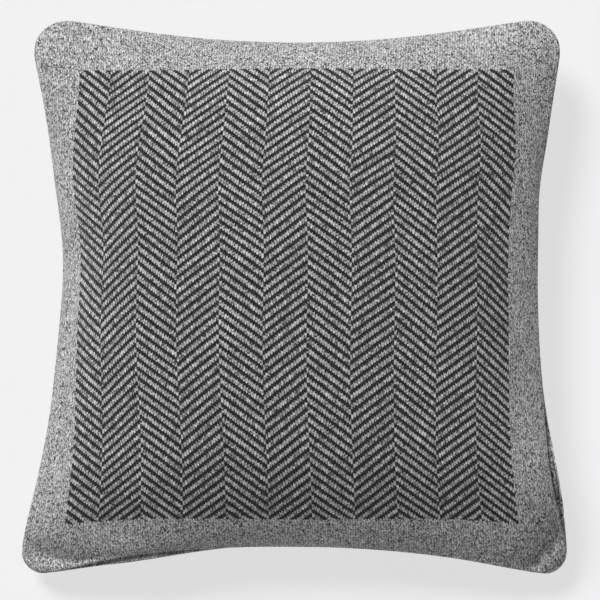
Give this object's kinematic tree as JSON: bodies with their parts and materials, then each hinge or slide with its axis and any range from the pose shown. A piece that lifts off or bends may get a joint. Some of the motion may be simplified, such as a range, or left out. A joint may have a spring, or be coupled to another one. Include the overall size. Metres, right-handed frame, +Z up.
{
  "type": "throw pillow",
  "caption": "Square stuffed throw pillow with a two-tone herringbone knit front, marled knit border and back, and a concealed zip near the lower edge of the back over a separate filled insert",
  "frame": {"origin": "on the ground under the middle of the pillow's bounding box, with the pillow lying on its back", "axes": "+Z up, out of the herringbone front; +Y to the pillow's top edge; +X to its right edge, seen from the front"},
  "size_m": [0.4881, 0.4964, 0.1423],
  "materials": {
    "herringbone_knit": "jacquard knit, dark grey and marled light grey chevron stripes inside a marled grey border",
    "marl_knit": "plain marled grey knit",
    "overlock_thread": "overlocked knit edge",
    "label_satin": "blank woven satin",
    "zip_tape": "woven polyester tape",
    "zip_nylon": "nylon monofilament",
    "zip_metal": "grey enamelled zinc",
    "cotton_ticking": "plain woven cotton",
    "polyester_fibre": "loose polyester fibre"
  },
  "bodies": {
    "pillow": {"cover_front": "herringbone_knit", "cover_back": "marl_knit", "cover_back_strip": "marl_knit", "seam_allowance": "overlock_thread", "care_label": "label_satin", "zip_tape_upper": "zip_tape", "zip_tape_lower": "zip_tape", "zip_coil_upper": "zip_nylon", "zip_coil_lower": "zip_nylon", "zip_top_stop_upper": "zip_metal", "zip_top_stop_lower": "zip_metal", "zip_bottom_stop": "zip_metal", "insert_front": "cotton_ticking", "insert_back": "cotton_ticking", "insert_fill": "polyester_fibre"},
    "slider": {"zip_slider": "zip_metal"},
    "pull": {"zip_pull": "zip_metal"}
  },
  "joints": [
    {"name": "zip_slide", "type": "slide", "parent": "pillow", "child": "slider", "axis": [1, 0, 0], "range_m": [0, 0.337]},
    {"name": "pull_swing", "type": "hinge", "parent": "slider", "child": "pull", "pos_m": [-0.1685, -0.19901, 0.02643], "axis": [0, -0.8988, 0.4384], "range_deg": [-85, 85]}
  ]
}
